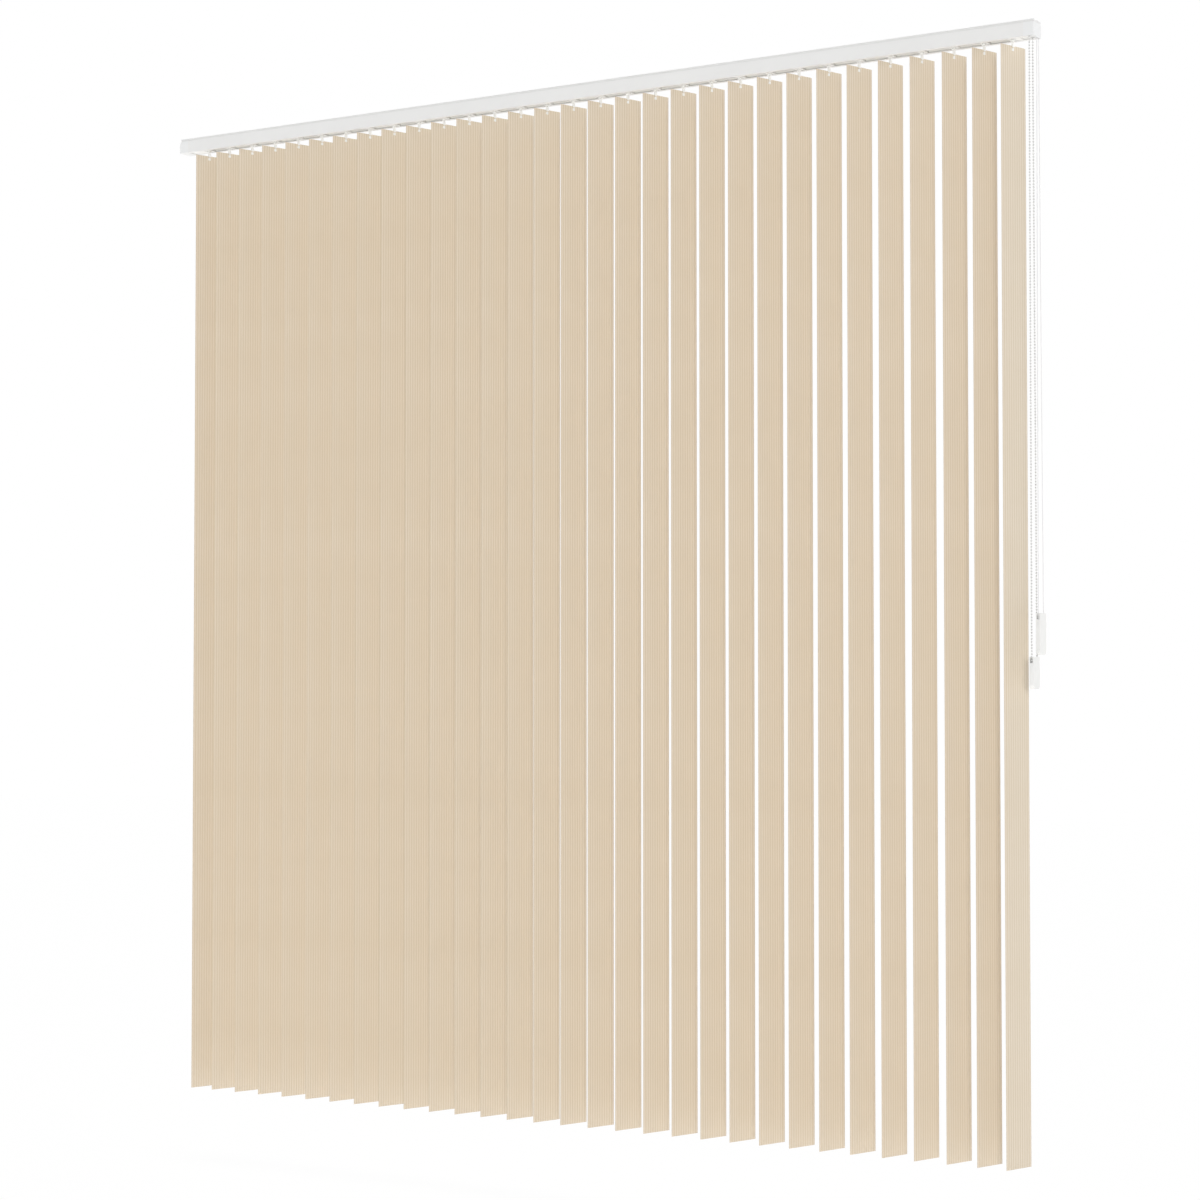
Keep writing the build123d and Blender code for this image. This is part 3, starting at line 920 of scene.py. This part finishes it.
@dataclass
class SlatRow:
    """The ribbed slats and the hooks that they hang on."""

    count: int = 31
    open_angle: float = 71.8
    width: float = SLAT_WIDTH_MM
    # The top is where the photograph has it, 3.3 mm above that of the solids.
    top: float = -54.2
    length: float = 2691.3
    thick: float = 0.8
    ribs: int = SLAT_RIBS
    rib_points: int = 8
    rib_relief: float = 0.22
    slat_sharp_over: float = 40.0
    hole_width: float = 8.0
    hole_height: float = 7.0
    hole_drop: float = 5.0
    wheel_level: float = -22.0
    wheel_height: float = 8.0
    wheel_radius: float = 4.3
    wheel_teeth: int = 12
    tooth_depth: float = 0.55
    # Where the corners of one tooth lie, in shares of its pitch and of its depth.
    tooth_corners: tuple[tuple[float, float], ...] = ((0.0, 0.0), (0.3, 0.0), (0.5, 1.0), (0.8, 1.0))
    stem_radius: float = 2.0
    stem_sides: int = 24
    stem_flare: float = 0.5
    flare_sink: float = 0.2
    flare_height: float = 0.6
    wheel_sink: float = 0.1
    hook_sharp_over: float = 35.0
    hook_width: float = 7.0
    hook_ease: float = 0.4
    jaw_thick: float = 1.4
    jaw_gap: float = 0.15
    block_height: float = 6.4
    block_gap: float = 0.6
    front_jaw_reach: float = 3.0
    nose_width: float = 5.0
    nose_height: float = 6.0
    nose_reach: float = 1.6
    nose_gap: float = 0.1
    nose_tip: float = 0.6
    nose_slope: float = 0.4

    def columns(self) -> list[float]:
        """Where the strip's points lie across its width, with the hole's sides among them.

        Returns:
            Places from the strip's left edge to its right edge, in millimetres.
        """
        steps = self.ribs * self.rib_points
        even = [self.width * (i / steps - 0.5) for i in range(steps + 1)]
        half_hole = self.hole_width / 2
        nearest = self.width / steps / 4
        clear = [x for x in even if min(abs(x - half_hole), abs(x + half_hole)) > nearest]
        return sorted(clear + [-half_hole, half_hole])

    def face_depth(self, x: float) -> float:
        """How far a face stands from the strip's middle, ribs included.

        Args:
            x: The place across the width.

        Returns:
            The distance in millimetres.
        """
        turn = 2 * math.pi * self.ribs * (x / self.width + 0.5)
        return self.thick / 2 - self.rib_relief * (0.5 + 0.5 * math.cos(turn)) ** 2

    def strip_mesh(self) -> bpy.types.Mesh:
        """Make one strip across X: two ribbed faces, its edges and its punched hole.

        Returns:
            The strip's mesh.
        """
        made = bmesh.new()
        columns = self.columns()
        hole_top = self.top - self.hole_drop
        levels = [self.top - self.length, hole_top - self.hole_height, hole_top, self.top]
        half_hole = self.hole_width / 2
        grid = {}
        for i, x in enumerate(columns):
            for k, z in enumerate(levels):
                for side in (-1, 1):
                    grid[i, k, side] = made.verts.new((x, side * self.face_depth(x), z))
        last, high = len(columns) - 1, len(levels) - 1
        solid = {
            (i, k): not (k == 1 and -half_hole <= (columns[i] + columns[i + 1]) / 2 <= half_hole)
            for i in range(last) for k in range(high)
        }
        for (i, k), filled in solid.items():
            if not filled:
                continue
            corners = ((i, k), (i + 1, k), (i + 1, k + 1), (i, k + 1))
            for side in (-1, 1):
                made.faces.new([grid[(*corner, side)] for corner in corners])
            walls = (
                ((i - 1, k), (i, k), (i, k + 1)),
                ((i + 1, k), (i + 1, k), (i + 1, k + 1)),
                ((i, k - 1), (i, k), (i + 1, k)),
                ((i, k + 1), (i, k + 1), (i + 1, k + 1)),
            )
            for beyond, a, b in walls:
                if not solid.get(beyond, False):
                    made.faces.new([grid[(*a, -1)], grid[(*b, -1)], grid[(*b, 1)], grid[(*a, 1)]])
        return finished_mesh("ribbed_slat", made, self.slat_sharp_over)

    def hook_mesh(self) -> bpy.types.Mesh:
        """Make one hook: toothed wheel, stem, and the clip whose nose stands in the slat's hole.

        Returns:
            The hook's mesh.
        """
        made = bmesh.new()
        self.wheel_rows(made)
        low = self.top + self.block_gap
        high = low + self.block_height
        wheel_low = self.wheel_level - self.wheel_height / 2
        stem = [
            (self.stem_radius + self.stem_flare, high - self.flare_sink),
            (self.stem_radius, high + self.flare_height),
            (self.stem_radius, wheel_low + self.wheel_sink),
        ]
        stacked(made, [ring_z(radius, z, self.stem_sides) for radius, z in stem])
        inner = self.thick / 2 + self.jaw_gap
        outer = inner + self.jaw_thick
        half = self.hook_width / 2
        ease = self.hook_ease
        block = [
            (-outer, low), (outer, low), (outer, high - ease),
            (outer - ease, high), (ease - outer, high), (-outer, high - ease),
        ]
        extruded(made, block, -half, half)
        front_low = self.top - self.front_jaw_reach
        front = [
            (-outer, low), (-outer, front_low + ease), (-outer + ease, front_low),
            (-inner, front_low), (-inner, low),
        ]
        extruded(made, front, -half, half)
        hole_top = self.top - self.hole_drop
        rear_low = hole_top - self.hole_height
        rear = [
            (inner, low), (inner, rear_low), (outer - ease, rear_low),
            (outer, rear_low + ease), (outer, low),
        ]
        extruded(made, rear, -half, half)
        nose_top = hole_top - self.nose_gap
        nose = [
            (inner, nose_top), (inner, hole_top - self.nose_height),
            (-inner, hole_top - self.nose_height * self.nose_slope),
            (-inner - self.nose_reach, nose_top - self.nose_tip), (-inner - self.nose_reach, nose_top),
        ]
        extruded(made, nose, -self.nose_width / 2, self.nose_width / 2)
        return finished_mesh("slat_hook", made, self.hook_sharp_over)

    def wheel_rows(self, mesh: bmesh.types.BMesh) -> None:
        """Add the worm wheel with its teeth.

        Args:
            mesh: The mesh that takes the wheel.
        """
        shape = []
        full = self.wheel_radius * math.cos(math.pi / self.wheel_teeth)
        for tooth in range(self.wheel_teeth):
            for share, depth in self.tooth_corners:
                turn = 2 * math.pi * (tooth + share) / self.wheel_teeth
                reach = full - depth * self.tooth_depth
                shape.append((reach * math.cos(turn), reach * math.sin(turn)))
        low = self.wheel_level - self.wheel_height / 2
        high = self.wheel_level + self.wheel_height / 2
        stacked(mesh, [[(x, y, z) for x, y in shape] for z in (low, high)])

    def build(self, slat: bpy.types.Material, hook: bpy.types.Material) -> None:
        """Hang a ribbed strip and a hook at every slat's place.

        Args:
            slat: The strips' finish.
            hook: The hooks' finish.
        """
        strip_mesh = self.strip_mesh()
        hook_mesh = self.hook_mesh()
        axes = {joint["name"]: joint["pos_m"] for joint in frame["joints"]}
        opened = Matrix.Rotation(math.radians(self.open_angle), 4, "Z")
        for number in range(1, self.count + 1):
            node = f"slat_{number:02d}"
            stand = Matrix.Translation((axes[f"{node}_tilt"][0], 0, 0)) @ opened
            strip = link_object(f"ribbed_{node}", strip_mesh, slat)
            clip = link_object(f"hook_{number:02d}", hook_mesh, hook)
            for piece in (strip, clip):
                piece.matrix_world = stand
                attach(piece, node)
            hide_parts(node)
            log.info("hung %s", node)


@dataclass
class HeadRail:
    """The extruded rail, its end caps, the carriers in it and the stops that keep them off the caps."""

    rail_edge_mm: float = 0.4
    cap_edge_mm: float = 0.5
    carrier_edge_mm: float = 0.3
    carrier_half: float = 10.0
    stop_gap: float = 0.6
    stop_sharp_over: float = 30.0
    # Half of the stops' section, over and between the rail's lips.
    stop_outline: tuple[tuple[float, float], ...] = (
        (18.0, -35.2), (19.0, -36.2), (19.0, -38.3), (13.2, -38.3), (13.2, -39.2), (12.8, -39.6),
    )

    def dress(
        self,
        rail: bpy.types.Material,
        cap: bpy.types.Material,
        carrier: bpy.types.Material,
        link: bpy.types.Material,
    ) -> None:
        """Give the rail's pieces their finishes.

        Args:
            rail: The rail's finish.
            cap: The end caps' finish.
            carrier: The carriers' finish.
            link: The spacer links' finish.
        """
        dress("head_rail", rail, self.rail_edge_mm)
        dress("control_end_cap", cap, self.cap_edge_mm)
        dress("idler_end_cap", cap, self.cap_edge_mm)
        dress("carriers", carrier, self.carrier_edge_mm)
        dress("spacer_links", link)

    def fit_stops(self, material: bpy.types.Material) -> None:
        """Fit a moulded stop between each end cap's plug and the carrier next to it.

        Args:
            material: The stops' finish.
        """
        places = [joint["pos_m"][0] for joint in frame["joints"] if joint["name"].endswith("_tilt")]
        outline = [*self.stop_outline, *((-y, z) for y, z in reversed(self.stop_outline))]
        for name, node, side in (("control", "control_end_cap", 1), ("idler", "idler_end_cap", -1)):
            cap = frame["nodes"][node]
            plug_face = min(side * (cap.matrix_world @ vert.co).x for vert in cap.data.vertices)
            carrier_face = max(side * place for place in places) + self.carrier_half * MM
            ends = (carrier_face / MM + self.stop_gap, plug_face / MM - self.stop_gap)
            made = bmesh.new()
            extruded(made, outline, *(side * end for end in ends))
            mesh = finished_mesh(f"{name}_stop", made, self.stop_sharp_over)
            stop = link_object(f"{name}_stop", mesh, material)
            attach(stop, RAIL_BODY)
            log.info("fitted %s", stop.name)


@dataclass
class Drives:
    """The tilt rod with what turns on it, and the cord's pulleys."""

    moulded: tuple[str, ...] = (
        "rod_bush", "chain_sprocket", "worm_sleeves",
        "cord_pulley_front", "cord_pulley_rear", "idler_pulley", "cord_grip",
    )
    pins: tuple[str, ...] = ("cord_pulley_pin", "idler_pin")

    def dress(
        self,
        rod: bpy.types.Material,
        moulding: bpy.types.Material,
        pin: bpy.types.Material,
        cord: bpy.types.Material,
    ) -> None:
        """Give the drives' pieces their finishes.

        Args:
            rod: The tilt rod's finish.
            moulding: The finish of the moulded wheels, sleeves and bush.
            pin: The pins' finish.
            cord: The finish of the cord in the rail.
        """
        dress("tilt_rod", rod)
        for node in self.moulded:
            dress(node, moulding)
        for node in self.pins:
            dress(node, pin)
        dress("cord_runs", cord)


def main() -> None:
    """Build every sub-assembly in order and report its pieces."""
    logging.basicConfig(level=logging.INFO, format="%(name)s: %(message)s")
    Studio().build()
    acetal = ACETAL.make()
    steel = PIN_STEEL.make()
    weight_abs = WEIGHT_ABS.make()
    braid = CORD_POLYESTER.make()
    chain = TiltChain()
    cord = TraverseCord()
    for loop in (chain, cord):
        loop.weight.dress(weight_abs, acetal, steel)
    chain.build(CHAIN_ACETAL.make())
    cord.build(braid)
    SlatRow().build(SLAT_PVC.make(), acetal)
    rail = HeadRail()
    rail.dress(RAIL_PAINT.make(), CAP_ABS.make(), acetal, LINK_PP.make())
    rail.fit_stops(acetal)
    Drives().dress(ROD_ALUMINIUM.make(), acetal, steel, braid)
    bpy.context.view_layer.update()


if __name__ == "__main__":
    main()
